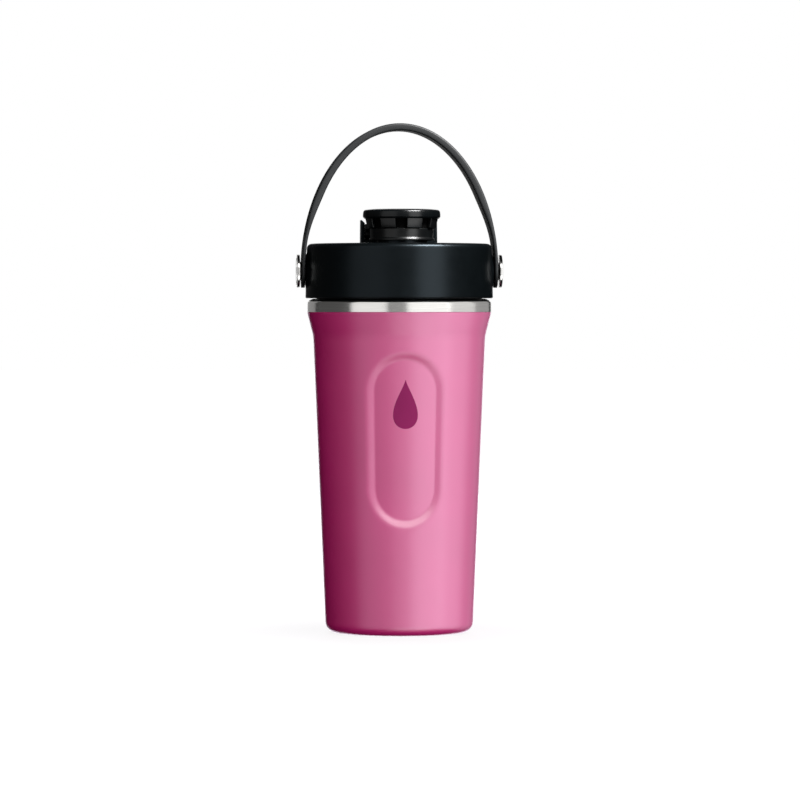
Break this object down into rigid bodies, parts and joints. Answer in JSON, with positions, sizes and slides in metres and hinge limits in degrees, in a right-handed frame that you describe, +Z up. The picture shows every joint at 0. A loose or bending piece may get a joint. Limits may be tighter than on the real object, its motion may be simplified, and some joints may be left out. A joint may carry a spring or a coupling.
{
  "type": "shaker bottle",
  "caption": "Insulated steel protein shaker with a screw lid, flip spout cap, mixing grid and a swinging carry strap.",
  "frame": {"origin": "middle of the base, on the surface it stands on", "axes": "+Z up along the bottle's axis, -Y to the front grip recess and the spout, X along the strap pivots and the cap's hinge pin"},
  "size_m": [0.103, 0.094, 0.2547],
  "materials": {
    "powder_coat": "fine-grained satin powder coat, magenta pink",
    "steel": "brushed stainless steel",
    "lid_black": "satin black moulded polypropylene",
    "gloss_black": "glossy black moulded plastic",
    "strap_rubber": "soft matt thermoplastic elastomer",
    "silicone": "dark food-grade silicone",
    "foam": "off-white closed-cell foam",
    "solder_glass": "dark fused sealing bead"
  },
  "bodies": {
    "cup": {"outer_shell": "powder_coat", "inner_liner": "steel", "base_plate": "powder_coat", "vacuum_port_bead": "solder_glass", "base_cover_disc": "steel", "vacuum_getter": "steel"},
    "lid_seal": {"lid_gasket": "silicone"},
    "lid": {"lid_plug": "lid_black", "spout_tube": "lid_black", "lid_insulation": "foam", "lid_cover": "lid_black", "mixing_grid": "lid_black", "cap_hinge_pin": "steel", "strap_post_left": "steel", "strap_bush_left": "gloss_black", "strap_button_left": "steel", "strap_post_right": "steel", "strap_bush_right": "gloss_black", "strap_button_right": "steel"},
    "cap": {"spout_cap": "lid_black", "cap_sleeve": "gloss_black", "spout_gasket": "silicone"},
    "strap": {"carry_strap": "strap_rubber"}
  },
  "joints": [
    {"name": "lid_lift", "type": "slide", "parent": "cup", "child": "lid_seal", "axis": [0, 0, 1], "range_m": [0, 0.00445]},
    {"name": "lid_turn", "type": "hinge", "parent": "lid_seal", "child": "lid", "pos_m": [0, 0, 0.16], "axis": [0, 0, 1], "range_deg": [0, 400]},
    {"name": "cap_swing", "type": "hinge", "parent": "lid", "child": "cap", "pos_m": [0, 0.0046, 0.1994], "axis": [-1, 0, 0], "range_deg": [0, 112]},
    {"name": "strap_swing", "type": "hinge", "parent": "lid", "child": "strap", "pos_m": [0, 0, 0.1809], "axis": [1, 0, 0], "range_deg": [-115, 115]}
  ],
  "couplings": [
    {"joint": "lid_lift", "follows": "lid_turn", "m_per_rad": 0.00063662}
  ]
}
